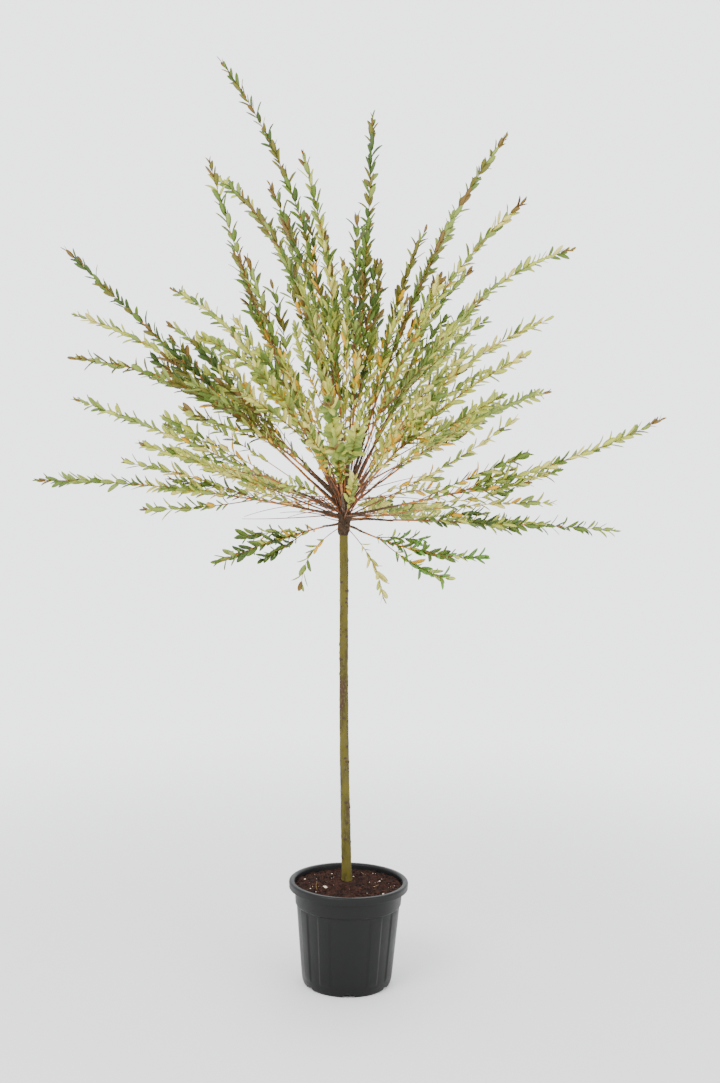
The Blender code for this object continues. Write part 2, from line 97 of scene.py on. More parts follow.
# Pot; each corner of its profile is a radius, a height and a rounding
POT_PROFILE = ((0.02, 0, 0), (0.124, 0, 0.0002), (0.1248, 0, 0.0002), (0.139, 0, 0.002),
               (0.1435, 0.006, 0.004), (0.1475, 0.022, 0.008), (0.1685, 0.258, 0.001),
               (0.1725, 0.262, 0.0015), (0.1775, 0.3284, 0.001), (0.1914, 0.3284, 0.001),
               (0.1914, 0.312, 0.0008), (0.194, 0.312, 0.0012), (0.195, 0.331, 0.004),
               (0.191, 0.335, 0.004), (0.181, 0.335, 0.003), (0.1764, 0.331, 0.002),
               (0.1659, 0.262, 0.003), (0.1449, 0.022, 0.004), (0.1364, 0.003, 0.002),
               (0.02, 0.003, 0))
MIDWALL_RADII = (0.1462, 0.1672)
BODY_HEIGHTS = (0.022, 0.262)
RIB_RISE = 0.0026
RIB_TURN = radians(3)
RIB_PLACES = (radians(30), radians(60))
RIB_HALF_WIDTH = radians(7.2)
RIB_EDGE = radians(1.1)
RIB_FOOT = (0.026, 0.042)
RIB_TOP = (0.252, 0.257)
NOTCH_COUNT = 6
NOTCH_RING = 0.139
NOTCH_WIDTH = 0.034
NOTCH_EDGE = 0.0008
# Height and inner radius of a notch's roof outside, and inside the pot
NOTCH_ROOFS = ((0.0095, 0.1245), (0.0121, 0.1214))
POT_SIDES = 360
POT_PITCH = 0.008
POT_TONES = ((0.35, 0.86), (0.55, 1), (0.75, 1.3))

# Peat; its side is a profile of radii and heights
PEAT_RADIUS = 0.1735
PEAT_HEIGHTS = (0.317, 0.325)
PEAT_SIDE = ((0.124, 0.0125), (0.1419, 0.030), (0.1649, 0.262), (PEAT_RADIUS, 0.313))
MOUND_TOP = 0.05
PEAT_PITCH = 0.04
PEAT_HOLE = 0.01
PEAT_RINGS = 130
PEAT_SIDES = 300
PEAT_SEED = 11
PEAT_LUMPS = ((0.040, 3, 0.8), (0.013, 4, 0.55))
PEAT_GRAINS = (0.0065, 5, 0.6)
PEAT_DUST = (0.0035, 6, 0.25)
PEAT_CALM = (0.02, 0.05)
PEAT_SINK = 0.0004
PEAT_TONES = ((0.34, 0.35), (0.50, 1), (0.66, 1.9))
CRUMB_COUNT = 1500
CRUMB_TINTS = (("peat_crumbs_red", 1.35), ("peat_crumbs_dark", 0.45))
CRUMB_RING = (0.018, PEAT_RADIUS - 0.004)
CRUMB_SIZES = (0.0008, 0.0026)
GRIT_COUNT = 46
GRIT_RING = (0.03, PEAT_RADIUS - 0.006)
GRIT_SIZES = (0.0008, 0.0019)
# Heading, distance from the middle and length of each pale pebble
PEBBLES = ((216, 0.092, 0.019), (205, 0.135, 0.008), (318, 0.150, 0.013), (14, 0.105, 0.008),
           (75, 0.060, 0.007), (165, 0.150, 0.009), (120, 0.115, 0.010), (255, 0.150, 0.007))
PEBBLE_LIFT = 0.001
PEBBLE_FLAT = 0.75
LUMP_LENGTH = 3.3
LUMP_CORNERS = (0.72, 1.25)
LUMP_LONG = (1.2, 2)
LUMP_WIDE = (0.7, 1.1)
# Heading and distance of each stalk's foot, the heading it leans to, its length and rise
STALKS = ((212, 0.118, 95, 0.0272, 1), (330, 0.09, 20, 0.024, 0.15), (60, 0.12, 160, 0.0208, 0.15))
STALK_SINK = 0.002
STALK_LEAN = 0.35
STALK_BOW = 0.004
STALK_RADII = (0.0007, 0.0004)
STALK_RINGS = 17
STALK_SIDES = 6

# Stem
TRUNK_FOOT = Vector((-0.006, 0.030, 0.3253))
TRUNK_TOP = Vector((-0.040, 0.030, 1.4620))
TRUNK_SWAY = 0.0045
SWAY_PACE = 1.15
TRUNK_RADII = (0.0158, 0.0138)
FLARE = 0.0032
FLARE_HEIGHT = 0.014
STEM_SINK = 0.004
STEM_OVERLAP = 0.001
STEM_RINGS = 520
STEM_SIDES = 64
STEM_SWELL = (0.16, 21, 0.04)
SWELL_START = (0.34, 0.42)
STEM_STRETCH = (1, 1, 0.22)
STEM_RIDGES = ((0.008, 22, 0.6), (0.0035, 23, 0.4))
SCAR_COUNT = 84
SCAR_SEED = 24
SCAR_HEIGHTS = (0.36, 1.44)
SCAR_SIZES = (0.7, 1.6)
SCAR_REACH = (0.0042, 0.0030)
SCAR_RISE = 0.0016
SCAR_PIT = 0.0008
PIT_FALL = 5
SCAR_EDGE = (0.25, 0.6)

# Graft head
GAP = 0.0003
HEAD_BASE = TRUNK_TOP.z + GAP
HEAD_HEIGHT = 0.150
HEAD_SINK = 0.003
HEAD_RADII = (0.0150, 0.0205, 0.0200, 0.0185, 0.0195, 0.0220, 0.0235, 0.0220, 0.0135)
HEAD_RINGS = 150
HEAD_SIDES = 96
HEAD_EASE = 7
HEAD_DOME = 0.06
DOME_FALL = 0.75
BURL_COUNT = 6
BURL_RADIUS = 0.0105
BURL_PLAY = 0.3
BURL_HEIGHTS = (0.22, 0.80)
BURL_SIZES = (0.8, 1.15)
BURL_REACH = 0.020
BURL_SHAPE = (1, 1, 1.25)
BURL_RISE = 0.0072
BURL_FALL = 1.1
HEAD_STRETCH = (1, 1, 0.45)
HEAD_RIDGES = ((0.014, 31, 0.0011), (0.006, 32, 0.0006))
CRACKS = (0.010, 33)
CRACK_DEPTH = 0.0013
CRACK_EDGE = 0.25
HEAD_EDGE = 0.04
OLD_BARK = Grain(90, (1, 1, 0.5), 0.85, 0.0010)
OLD_TONES = ((0.32, 0.35), (0.50, 1), (0.68, 1.8))

# Limbs
CROWN_RINGS = (0.004, 0.0165)
RING_RISE = 45
UPRIGHT = 90
DROOP_POWER = 1.6
WAND_STEPS = 128
WAND_SPARE = 9
LIMB_SCALE = (0.7, 0.3)
BOUGH_SHARE = 0.17
BOUGH_RADIUS = 0.0052
BOUGH_RINGS = 48
BOUGH_SIDES = 16
BOUGH_SLIM = 0.92
FOOT_SWELL = 0.34
FOOT_REACH = 0.03
BUD_RISE = 0.0009
BUD_PITCH = 0.034
BUD_REACH = 0.0028
BOUGH_SWAY = (0.09, 50, 0.0016)
BOUGH_RIDGES = (0.007, 60, 0.0004)
YOUNG_BARK = Grain(110, EVEN, 0.65, 0.0006)
YOUNG_TONES = ((0.34, 0.35), (0.52, 1), (0.70, 1.6))

# Each wand: its heading (degrees) and height on the head (millimetres), its rise there and its
# droop to the tip (degrees), its length (metres) and its leaves' tone
Wand = namedtuple("Wand", "heading height rise droop length tone", defaults=("inner",))
WANDS = tuple(Wand(*row) for row in (
    (352, 60, 12, -16, 1.07, "sage"), (12, 50, 0, 4, 0.96, "green"), (66, 55, 3, 2, 0.97, "pale"),
    (192, 60, 10, 12, 0.99, "sage"), (268, 70, 22, 12, 0.98, "mixed"), (308, 35, -14, -20, 0.68, "fresh"),
    (234, 40, -8, 8, 0.63, "green"), (122, 65, 12, 8, 1.04, "pale"), (157, 70, 22, 6, 1.15, "mixed"),
    (38, 80, 33, 20, 1.06, "mixed"), (303, 80, 34, 22, 1.00, "pale"), (210, 95, 40, 42, 1.03, "olive"),
    (170, 105, 44, 29, 1.15, "mixed"), (193, 80, 41, -1, 1.20, "dark"), (60, 95, 48, 26, 1.20, "pale"),
    (335, 95, 55, 38, 0.91, "pale"), (240, 80, 48, 46, 0.94, "pale"), (140, 90, 56, 36, 1.20, "mixed"),
    (22, 105, 66, 50, 1.28, "sage"), (85, 120, 62, 12, 1.27, "dark"), (217, 105, 58, -13, 1.15, "olive"),
    (108, 100, 57, -12, 1.12, "pale"), (329, 110, 70, 36, 1.12, "mixed"), (8, 135, 75, 21, 1.31, "olive"),
    (134, 125, 78, 52, 1.41, "olive"), (294, 135, 79, -10, 1.20, "dark"), (245, 130, 86, 36, 1.10, "mixed"),
    (178, 125, 87, 34, 1.45, "dark"),
))
MASSES = tuple(f"foliage_{index + 1:02d}" for index in range(len(WANDS)))
GUIDE_POINTS = 25

# Two small twigs that hang beside the stem
HANGING = (Wand(322, 30, -38, 44, 0.29, "pale"), Wand(205, 28, -30, 62, 0.25, "sage"))
HANGING_RADIUS = 0.0018
HANGING_BARE = 0.30

# Leaders, which carry the boughs on; the longest reach past their solids
STEM_RADIUS = 0.0035
TIP_RADIUS = 0.0008
SOURCE_SEED = 41
LEADER_DRAWS = 28
LEADER_LAP = 0.004
LEADER_BARE = 0.10
LEADER_POINTS = 61
TIP_REACH = (-0.015, 0.035)
LONG_WAND = (1.32, 1.45)
TIP_LEAF_REACH = 0.075

# Each kind of side shoot: how many a wand gets; the ranges of its start, angle and length; the
# first one's turn in half turns and its play; the draws that the source spends on its leaves;
# its radius over the leader's, its bare share and its tone.  The first kind is the source's.
Kind = namedtuple("Kind", "count start angle length turn play draws radius bare tone")
SIDE_KINDS = (
    Kind(2, (0.05, 0.22), (0.24, 0.40), (0.50, 0.80), 0, 0.4, 13, 0.62, 0.24, None),
    Kind(2, (0.03, 0.45), (0.16, 0.34), (0.25, 0.52), 0.5, 0.5, 0, 0.45, 0.20, None),
    Kind(1, (0.11, 0.26), (0.22, 0.55), (0.20, 0.42), 0, 0.5, 0, 0.45, 0.42, "inner"),
)
SHORT_WAND = 0.8
SIDE_FADE = 0.75
SIDE_POINTS = 33
SIDE_STEPS = 41
SPACE_KNOTS = (13, 27, 40)
SPACE_MARGIN = 0.004
SPACE_TRIES = 14
SPACE_EASE = (0.8, 0.95)

# Short wands that fill the middle of the crown, and bare twigs
SHORT_COUNT = 40
SHORT_POINTS = 41
SHORT_SEED = SOURCE_SEED + 3
SHORT_HEIGHT = (45, 125)
SHORT_RISE = (8, 88)
SHORT_STEEP = 0.8
SHORT_PLAY = 5
SHORT_DROOP = (-15, 30)
SHORT_LENGTH = (0.34, 0.74)
SHORT_RADIUS = 0.0026
SHORT_BARE = 0.46
GOLDEN_TURN = 137.5
BARE_COUNT = 46
BARE_SEED = SOURCE_SEED + 7
BARE_RANGES = ((-9, 9), (40, 135), (-8, 84), (-20, 25), (0.14, 0.36))
BARE_RADII = (0.0023, 0.0008)

# Twigs
LEADER_SIDES = 7
TWIG_SIDES = 5
TWIG_TAPER = 0.8
OCHRE_EVERY = 3
TWIG_BARK = Grain(45, EVEN, 0.55, 0.0003)
TWIG_TONES = ((0.34, 0.55), (0.50, 1), (0.68, 1.5))

# Leaves
LEAF_SEED = 71
LEAF_LENGTH = 0.047
LEAF_WIDTH = 0.32
LEAF_THICK = 0.011
LEAF_STATIONS = (0.06, 0.20, 0.42, 0.66, 0.85, 0.95)
LEAF_OUTLINE = (0.20, 0.70, 0.98, 1.00, 0.72, 0.38)
WIDTH_PLAY = (0.85, 1.15)
LEAF_BEND = (-0.10, 0.26)
LEAF_FOLD = (0.15, 0.55)
MIDRIB_TOP = 0.2
PAIR_PITCH = 0.0185
LEAST_PAIRS = 3
SPARSE_BARE = 0.25
SPARSE_PAIRS = 0.8
LAST_PAIR = 0.99
PAIR_OFFSET = 0.22
PAIR_PLAY = 0.15
PAIR_TURN = 1.45
LEAF_ROLL = 0.4
LEAF_SPREAD = (0.34, 0.78)
LEAF_LIFT = 0.12
LEAF_TILT = 0.02
LEAF_TWIST = 0.5
LEAF_SIZES = (0.80, 1.18)
LEAF_TIP = (0.90, 1)
TIP_CLOSE = 0.65
TIP_SHRINK = 0.42
FOOT_SHRINK = 0.28
FOOT_LEAVES = 0.3
SPRAY_PAIRS = 3
STRAY_LEAVES = 0.35
GOLD_REACH = 0.34
GOLD_CHANCE = 0.09
BRONZE_FROM = 0.93
BRONZE_CHANCE = 0.65
BRONZED = ("dark", "olive", "sage", "mixed")

# Parts of each colour of leaf in each tone
TONES = {
    "pale": dict(cream=5, pale=7, sage=4, mid=1),
    "mixed": dict(cream=3, pale=5, sage=5, mid=3),
    "sage": dict(pale=3, sage=6, mid=4, cream=1),
    "green": dict(sage=3, mid=6, deep=3, pale=2),
    "dark": dict(mid=5, deep=4, olive=4, bronze=2, sage=1),
    "olive": dict(olive=5, sage=4, mid=2, bronze=1, pale=1),
    "fresh": dict(fresh=7, mid=2, pale=1),
    "inner": dict(cream=4, pale=7, sage=5, gold=1, mid=2),
}


def linear(red, green, blue):
    """Linear colour of an eight-bit screen colour."""
    share = np.array((red, green, blue)) / 255
    curved = ((share + 0.055) / 1.055) ** 2.4
    return tuple(float(value) for value in np.where(share < 0.04, share / 12.92, curved))


LEAF_COLOURS = {
    "cream": linear(206, 197, 102),
    "pale": linear(173, 179, 72),
    "sage": linear(130, 145, 63),
    "mid": linear(92, 113, 38),
    "deep": linear(64, 84, 30),
    "olive": linear(102, 98, 30),
    "fresh": linear(96, 136, 50),
    "bronze": linear(112, 88, 38),
    "gold": linear(216, 164, 24),
}
RED_TWIG = linear(112, 62, 30)
STEM_PATCH = linear(62, 42, 24)
STEM_SPECK = linear(82, 74, 42)
STEM_SCAR = linear(58, 42, 30)
PEBBLE_TONES = ((0.3, linear(190, 168, 140)), (0.5, linear(226, 208, 184)), (0.7, linear(240, 232, 214)))
STRAW_TONES = ((0.3, linear(120, 96, 58)), (0.5, linear(160, 134, 84)), (0.7, linear(186, 160, 108)))
OFF_ON = ((0, 0, 0), EVEN)


def length_prop(name, description, default, low=0.0):
    """A length that a user may change."""
    return FloatProperty(name=name, description=description, default=default, min=low,
                         unit="LENGTH", subtype="DISTANCE")


def colour_prop(name, description, default):
    """A colour that a user may change."""
    return FloatVectorProperty(name=name, description=description, default=default, size=3,
                               min=0.0, max=1.0, subtype="COLOR")


class WillowSizes(bpy.types.PropertyGroup):
    """Sizes of the fine forms."""

    leaf_length: length_prop("Leaf length", "Length of a full-grown leaf", LEAF_LENGTH, 0.01)
    leaf_width: FloatProperty(name="Leaf width", description="Width of a leaf over its length",
                              default=LEAF_WIDTH, min=0.05, max=1.0, subtype="FACTOR")
    pair_pitch: length_prop("Pair pitch", "Distance between pairs of leaves", PAIR_PITCH, 0.005)
    bark_relief: length_prop("Bark relief", "Height of the stem's ridges", 0.0005)
    peat_relief: length_prop("Peat relief", "Height of the peat's lumps", 0.0021)


class WillowTints(bpy.types.PropertyGroup):
    """Main colours of the plant and its pot."""

    pot: colour_prop("Pot", "Plastic of the pot", linear(8, 8, 9))
    peat: colour_prop("Peat", "Damp peat", linear(48, 26, 18))
    stem: colour_prop("Stem", "Green bark of the stem", linear(80, 72, 14))
    head: colour_prop("Head", "Old bark of the graft head", linear(56, 40, 24))
    bough: colour_prop("Bough", "Bark of the limbs", linear(72, 53, 34))
    twig: colour_prop("Twig", "Bark of the young shoots", linear(150, 94, 38))


def smooth(value, low, high):
    """Zero below low, one above high, smooth between them."""
    share = np.clip((value - low) / (high - low), 0, 1)
    return share * share * (3 - 2 * share)


def blend(span, share):
    """Value at a share of the way along a span."""
    return span[0] + (span[1] - span[0]) * share


def ripple(points, pitch, seed, height=1):
    """Sum of sine waves near one pitch in seeded directions, about -height to height."""
    rule = np.random.default_rng(seed)
    aim = rule.normal(size=(WAVES, 3))
    aim *= (rule.uniform(*WAVE_RATES, WAVES) / np.linalg.norm(aim, axis=1))[:, None]
    phase = rule.uniform(0, TURN, WAVES)
    waves = np.sin(points @ aim.T * (TURN / pitch) + phase)
    return waves.sum(-1) / sqrt(WAVES * WAVE_POWER) * height


def ripples(points, rows):
    """Sum of the ripples of a table."""
    return sum(ripple(points, *row) for row in rows)


def unit(vectors):
    """Vectors of length one along the last axis."""
    return vectors / np.linalg.norm(vectors, axis=-1, keepdims=True)


def running(steps):
    """Sums of the steps so far, from zero."""
    return np.concatenate((np.zeros_like(steps[:1]), np.cumsum(steps, axis=0)))


def run_along(path):
    """Length along a path to each of its points."""
    return running(np.linalg.norm(np.diff(path, axis=0), axis=1))


def read_at(places, run, rows):
    """Rows at places along a run, straight between its points."""
    return np.stack([np.interp(places, run, column) for column in rows.T], axis=-1)


def tube_faces(rings, sides):
    """Quads between the rings of a closed tube and a fan on a pole at each end."""
    ring = np.arange(sides)
    after = (ring + 1) % sides
    low = np.arange(rings - 1)[:, None] * sides
    quads = np.stack((low + ring, low + after, low + sides + after, low + sides + ring), axis=-1)
    last = (rings - 1) * sides
    start = np.stack((np.full(sides, rings * sides), after, ring), axis=-1)
    end = np.stack((np.full(sides, rings * sides + 1), last + ring, last + after), axis=-1)
    return quads.reshape(-1, 4), np.vstack((start, end))


def tube_axes(path):
    """Along, side and up at each point of a path; side is square to one fixed axis."""
    along = unit(np.gradient(path, axis=0))
    hint = np.eye(3)[np.argmin(np.abs(along.mean(0)))]
    side = unit(np.cross(hint, along))
    return along, side, np.cross(along, side)


def tube_points(path, radii, sides):
    """Rings of a tube: path + radius * (cos(turn) * side + sin(turn) * up), then its poles."""
    _, side, up = tube_axes(path)
    turn = np.linspace(0, TURN, sides, endpoint=False)
    radii = np.broadcast_to(np.asarray(radii).reshape(len(path), -1), (len(path), sides))
    out = np.cos(turn)[None, :, None] * side[:, None] + np.sin(turn)[None, :, None] * up[:, None]
    rings = (path[:, None] + radii[..., None] * out).reshape(-1, 3)
    return np.vstack((rings, path[:1], path[-1:]))


def tube(path, radii, sides):
    """Points, quads and triangles of a closed tube."""
    return tube_points(path, radii, sides), *tube_faces(len(path), sides)


def turned(radii, heights, sides):
    """Points (radius * cos, radius * sin, height), quads and triangles of a turned surface."""
    turn = np.linspace(0, TURN, sides, endpoint=False)
    radii, heights = (np.broadcast_to(rows.reshape(len(rows), -1), (len(rows), sides))
                      for rows in (radii, heights))
    rings = np.stack((radii * np.cos(turn), radii * np.sin(turn), heights), axis=-1)
    poles = UP * np.array((heights[0].mean(), heights[-1].mean()))[:, None]
    return np.vstack((rings.reshape(-1, 3), poles)), *tube_faces(len(radii), sides)


def joined(surfaces):
    """Many surfaces as one, each a set of points, quads and triangles."""
    points, *faces = zip(*surfaces)
    shifts = running(np.array([len(part) for part in points]))
    faces = [np.vstack([part + shift for part, shift in zip(parts, shifts)]) for parts in faces]
    return np.vstack(points), *faces


def new_object(name, data):
    """An object in the scene."""
    thing = bpy.data.objects.new(name, data)
    bpy.context.scene.collection.objects.link(thing)
    return thing


def put_mesh(name, surface, material, is_smooth=True):
    """A mesh object from the whole arrays of a surface."""
    points, quads, triangles = surface
    mesh = bpy.data.meshes.new(name)
    mesh.vertices.add(len(points))
    mesh.vertices.foreach_set("co", points.astype(np.float32).ravel())
    corners = np.hstack((quads.ravel(), triangles.ravel())).astype(np.int32)
    mesh.loops.add(len(corners))
    mesh.loops.foreach_set("vertex_index", corners)
    sizes = np.hstack((np.full(len(quads), 4), np.full(len(triangles), 3)))
    mesh.polygons.add(len(sizes))
    mesh.polygons.foreach_set("loop_start", running(sizes)[:-1].astype(np.int32))
    mesh.update(calc_edges=True)
    mesh.polygons.foreach_set("use_smooth", np.full(len(sizes), is_smooth))
    mesh.materials.append(material)
    return new_object(name, mesh)


def dress(piece, slot, *nodes):
    """Put a piece on the body, in place of the named nodes; the slot is not used."""
    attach(piece, ROOT)
    if nodes:
        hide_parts(*nodes)


def shaded(colour, light):
    """A colour made lighter or darker by a factor."""
    return tuple(min(1, value * light) for value in colour)


def toned(colour, tones):
    """Stops of a ramp: places and tones of a colour."""
    return [(place, shaded(colour, light)) for place, light in tones]


def feed(tree, socket, value):
    """Set a socket to a value, or link it to an output."""
    if isinstance(value, bpy.types.NodeSocket):
        tree.links.new(value, socket)
    elif socket.type == "RGBA":
        socket.default_value = (*value, 1)
    else:
        socket.default_value = value


def shade(tree, kind, **inputs):
    """First output of a new shader node with its inputs fed; _ in a name is a space."""
    node = tree.nodes.new(f"ShaderNode{kind}")
    for name, value in inputs.items():
        feed(tree, node.inputs[name.replace("_", " ")], value)
    return node.outputs[0]


def noise(tree, scale, detail, stretch=EVEN):
    """Value of a noise on stretched object coordinates."""
    place = shade(tree, "TexCoord").node.outputs["Object"]
    moved = shade(tree, "Mapping", Vector=place, Scale=stretch)
    return shade(tree, "TexNoise", Vector=moved, Scale=scale, Detail=detail)


def ramp(tree, value, stops):
    """Colour of a value; stops are places with their colours."""
    output = shade(tree, "ValToRGB", Fac=value)
    elements = output.node.color_ramp.elements
    while len(elements) < len(stops):
        elements.new(0.5)
    for element, (place, colour) in zip(elements, stops):
        element.position = place
        element.color = (*colour, 1)
    return output


def mixed(tree, factor, first, second):
    """Mix of two colours by a factor."""
    node = shade(tree, "Mix", Factor=factor).node
    node.data_type = "RGBA"
    feed(tree, node.inputs[6], first)
    feed(tree, node.inputs[7], second)
    return node.outputs[2]


def ranged(tree, value, low, high):
    """A noise's value laid between low and high."""
    return shade(tree, "MapRange", Value=value, From_Min=NOISE_SPAN[0], From_Max=NOISE_SPAN[1],
                 To_Min=low, To_Max=high)


def new_skin(name):
    """A material and its tree."""
    material = bpy.data.materials.new(name)
    material.use_nodes = True
    return material, material.node_tree


def finish(tree, colour, roughness, specular, height=None, relief=0):
    """Feed the shader of a tree; a height makes a bump of the relief in metres."""
    shader = tree.nodes["Principled BSDF"]
    feed(tree, shader.inputs["Base Color"], colour)
    feed(tree, shader.inputs["Roughness"], roughness)
    shader.inputs["Specular IOR Level"].default_value = specular
    if height is not None:
        bump = shade(tree, "Bump", Height=height, Distance=relief, Strength=1)
        feed(tree, shader.inputs["Normal"], bump)
    return shader


def bark(name, stops, grain):
    """Bark in tones of a noise, with a fine bump and uneven gloss."""
    material, tree = new_skin(name)
    broad = noise(tree, grain.scale, 6, grain.stretch)
    fine = noise(tree, grain.scale * 5, 4, grain.stretch)
    gloss = ranged(tree, fine, grain.roughness - 0.1, grain.roughness + 0.1)
    finish(tree, ramp(tree, broad, stops), gloss, 0.3, fine, grain.relief)
    return material


def stem_bark(colour):
    """Green bark with brown patches and specks, dark at the marked scars."""
    material, tree = new_skin("stem_bark")
    broad = noise(tree, 26, 5, (1, 1, 0.35))
    fine = noise(tree, 240, 4, (1, 1, 0.4))
    stops = ((0.32, STEM_PATCH), *toned(colour, ((0.42, 0.62), (0.52, 1), (0.70, 1.35))))
    speck = ramp(tree, fine, tuple(zip((0.33, 0.50), OFF_ON)))
    base = mixed(tree, speck, STEM_SPECK, ramp(tree, broad, stops))
    mark = shade(tree, "Attribute").node
    mark.attribute_name = "scar"
    base = mixed(tree, mark.outputs["Fac"], base, STEM_SCAR)
    finish(tree, base, 0.62, 0.22, fine, 0.0006)
    return material


def pot_plastic(colour):
    """Moulded dark plastic, faintly dusty and scuffed."""
    material, tree = new_skin("pot_plastic")
    broad = noise(tree, 9, 5)
    fine = noise(tree, 900, 2)
    gloss = ranged(tree, broad, 0.36, 0.52)
    finish(tree, ramp(tree, broad, toned(colour, POT_TONES)), gloss, 0.26, fine, 0.00012)
    return material


def peat_skin(name, colour):
    """Crumbly damp peat with paler fibres, and painted shade in the hollows of its bump."""
    material, tree = new_skin(name)
    broad = noise(tree, 60, 8)
    fine = noise(tree, 420, 5)
    # Painted shade: where the fine noise, which is also the bump's height, is low, the peat is darkened to
    # 0.45 of its colour.
    painted_shade_factor = ramp(tree, fine, tuple(zip((0.36, 0.56), OFF_ON)))
    base = ramp(tree, broad, toned(colour, PEAT_TONES))
    finish(tree, mixed(tree, painted_shade_factor, shaded(colour, 0.45), base), 0.92, 0.2, fine, 0.0016)
    return material


def blade_skin(kind):
    """A leaf's plain colour and soft gloss."""
    material, tree = new_skin(f"leaf_{kind}")
    finish(tree, LEAF_COLOURS[kind], 0.55, 0.3)
    return material


def floor_skin():
    """Pale floor that melts into the backdrop away from the plant."""
    material, tree = new_skin("studio_floor")
    shader = finish(tree, FLOOR_COLOUR, 0.8, 0.2)
    place = shade(tree, "TexCoord").node.outputs["Object"]
    reach = shade(tree, "VectorMath", Vector=place).node
    reach.operation = "LENGTH"
    fade = shade(tree, "MapRange", Value=reach.outputs["Value"], From_Min=FLOOR_FADE[0],
                 From_Max=FLOOR_FADE[1])
    fade.node.interpolation_type = "SMOOTHSTEP"
    mix = shade(tree, "MixShader", Fac=fade)
    feed(tree, mix.node.inputs[1], shader.outputs["BSDF"])
    feed(tree, mix.node.inputs[2], shade(tree, "Emission", Color=SKY_COLOUR, Strength=SKY_SEEN))
    feed(tree, tree.nodes["Material Output"].inputs["Surface"], mix)
    return material


def heading(azimuth):
    """Level unit vector of a heading."""
    return np.array((cos(azimuth), sin(azimuth), 0))


def wand_line(wand, shares):
    """Points of a wand at shares of its length: its slope falls off towards the tip.

    It springs from the middle of the head, or from a ring on it, wider for a steeper wand.
    """
    fine = np.arange(WAND_STEPS + WAND_SPARE) / WAND_STEPS
    slope = np.radians(wand.rise - wand.droop * fine ** DROOP_POWER)
    level, climb = (running((rate[1:] + rate[:-1]) / 2) * (wand.length / WAND_STEPS)
                    for rate in (np.cos(slope), np.sin(slope)))
    ring = blend(CROWN_RINGS, max(wand.rise - RING_RISE, 0) / (UPRIGHT - RING_RISE))
    aim = heading(radians(wand.heading))
    start = np.array((TRUNK_TOP.x, TRUNK_TOP.y, HEAD_BASE + wand.height / 1000)) + aim * ring
    reach = np.interp(shares, fine, level)[:, None]
    return start + reach * aim + np.interp(shares, fine, climb)[:, None] * UP


def gap_to(points, line):
    """Distance from each point to a line of straight pieces."""
    start = line[:-1]
    along = line[1:] - start
    offset = points[:, None] - start
    share = np.clip((offset * along).sum(2) / (along * along).sum(1), 0, 1)
    foot = offset - share[:, :, None] * along
    return np.sqrt((foot * foot).sum(2)).min(1)


def has_room(points, index, lines):
    """True when all points lie nearer to their own wand than to other limbs."""
    own = gap_to(points, lines[index])
    return not any((gap_to(points, line) < own + SPACE_MARGIN).any()
                   for other, line in enumerate(lines) if other != index)


def side_line(line, begin, angle, roll, share):
    """Points of a side shoot, which leaves its wand at an angle and then follows it.

    Its course is the wand's tangent plus tan(angle) times a fixed vector across it,
    which fades to a quarter towards the shoot's tip.
    """
    shares = np.linspace(0, 1, len(line))
    length = np.linalg.norm(np.diff(line, axis=0), axis=1).sum()
    fine = np.linspace(begin, begin + share * (1 - begin), SIDE_STEPS)
    tangent = read_at(fine, shares, unit(np.gradient(line, axis=0)))
    first = Vector(tangent[0])
    across = first.orthogonal().normalized()
    across.rotate(Matrix.Rotation(roll, 3, first))
    ease = 1 - SIDE_FADE * np.linspace(0, 1, SIDE_STEPS)
    course = unit(tangent + tan(angle) * ease[:, None] * np.array(across))
    step = length * (fine[1] - fine[0])
    return read_at(begin, shares, line) + running((course[1:] + course[:-1]) / 2) * step


def spaced_shoot(wand, begin, angle, roll, share, index, lines):
    """A side shoot, drawn in until it has room, or None."""
    for _ in range(SPACE_TRIES):
        shoot = side_line(wand, begin, angle, roll, share)
        if has_room(shoot[list(SPACE_KNOTS)], index, lines):
            return shoot
        angle *= SPACE_EASE[0]
        share *= SPACE_EASE[1]
    return None


def limb_scale(wand):
    """How thick a wand is against one of a metre."""
    return LIMB_SCALE[0] + LIMB_SCALE[1] * wand.length


